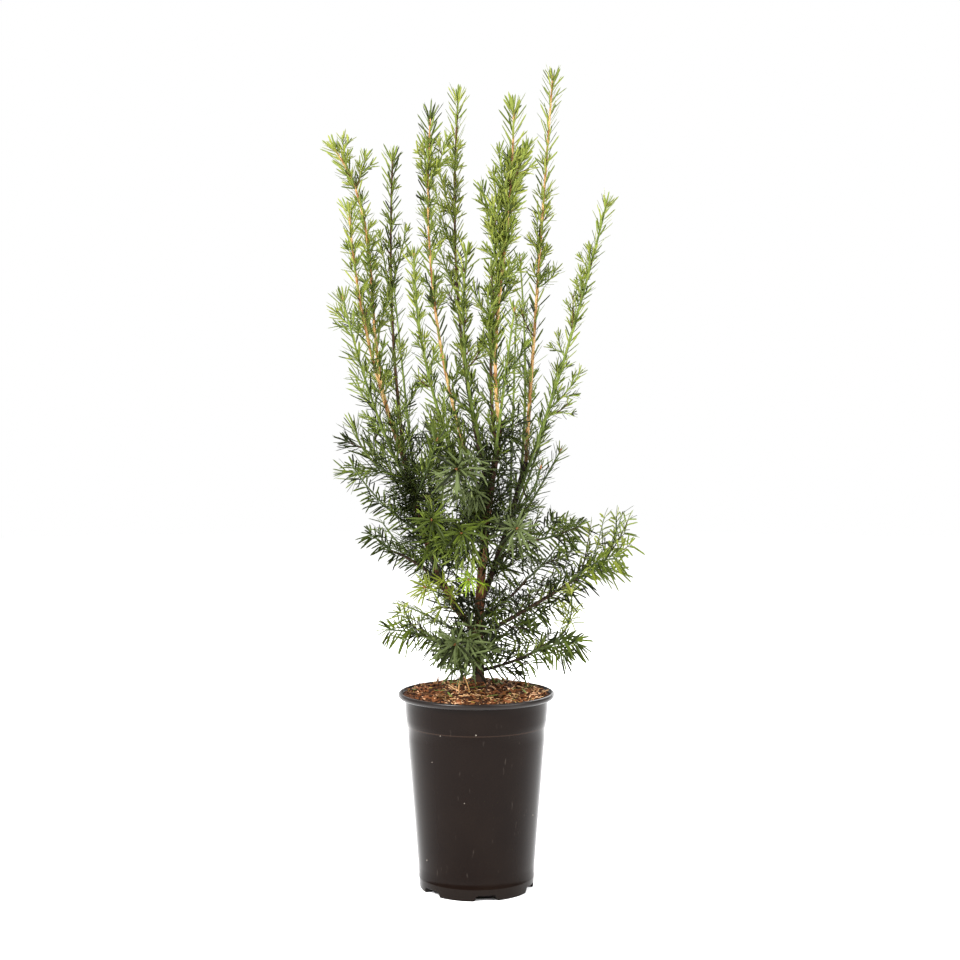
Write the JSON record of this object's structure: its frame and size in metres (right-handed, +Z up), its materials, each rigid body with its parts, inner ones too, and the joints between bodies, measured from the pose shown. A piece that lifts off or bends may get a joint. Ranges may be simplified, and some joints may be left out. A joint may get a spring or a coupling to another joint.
{
  "type": "potted hicksii yew",
  "caption": "Young upright yew with several tall needled shoots and low spreading boughs, in a round black nursery pot filled with bark compost.",
  "frame": {"origin": "middle of the pot's flat underside", "axes": "+Z up along the pot's axis and the plant's height, +X to the right and -Y towards the viewer of the picture"},
  "size_m": [0.3396, 0.2636, 0.8938],
  "materials": {
    "pot_plastic": "blown black polypropylene, satin",
    "compost": "shredded bark and peat, rough",
    "bark": "thin red-brown bark, peeling",
    "needles_bright": "young yellow-green needles, waxy",
    "needles_light": "light green needles, waxy",
    "needles_mid": "mid green needles, waxy",
    "needles_dark": "dark green needles, waxy",
    "needles_blue": "blue-green needles, waxy"
  },
  "bodies": {
    "root": {"pot": "pot_plastic", "soil": "compost", "trunk": "bark", "stem_left": "bark", "stem_right": "bark", "bough_left": "bark", "bough_left_foot": "bark", "bough_right": "bark", "bough_right_foot": "bark", "bough_right_high": "bark", "bough_back_left": "bark", "bough_back": "bark", "bough_back_right": "bark", "shoot_centre": "needles_mid", "shoot_centre_back": "needles_mid", "shoot_middle_short": "needles_mid", "shoot_middle_back": "needles_mid", "shoot_middle_left": "needles_mid", "shoot_front_left": "needles_light", "shoot_left_nodding": "needles_mid", "shoot_left_outer": "needles_mid", "shoot_left_inner": "needles_mid", "shoot_right_tallest": "needles_mid", "shoot_right_outer": "needles_mid", "shoot_centre_front": "needles_light", "shoot_left_low": "needles_mid", "shoot_right_inner": "needles_mid", "shoot_back_left": "needles_mid", "shoot_back_right": "needles_mid", "shoot_back_outer": "needles_mid", "fan_left_upper": "needles_mid", "spray_upper_left": "needles_dark", "spray_right_shoulder": "needles_dark", "spray_back_high": "needles_dark", "spray_back_left": "needles_dark", "spray_back_right": "needles_dark", "fan_left_lower": "needles_dark", "feather_left": "needles_mid", "feather_left_foot": "needles_mid", "feather_right_high": "needles_mid", "feather_right_upper": "needles_light", "feather_right_lower": "needles_light", "feather_right_foot": "needles_dark", "feather_back_left": "needles_mid", "feather_back": "needles_mid", "feather_back_right": "needles_mid", "feather_left_back_foot": "needles_mid", "feather_right_back_foot": "needles_mid", "tuft_left_bright": "needles_bright", "tuft_front_bright": "needles_bright", "tuft_right_foot": "needles_bright", "spray_front_low": "needles_blue", "spray_front_star": "needles_blue", "spray_front_left": "needles_dark", "spray_front_middle": "needles_dark", "spray_front_right": "needles_blue"}
  },
  "joints": []
}
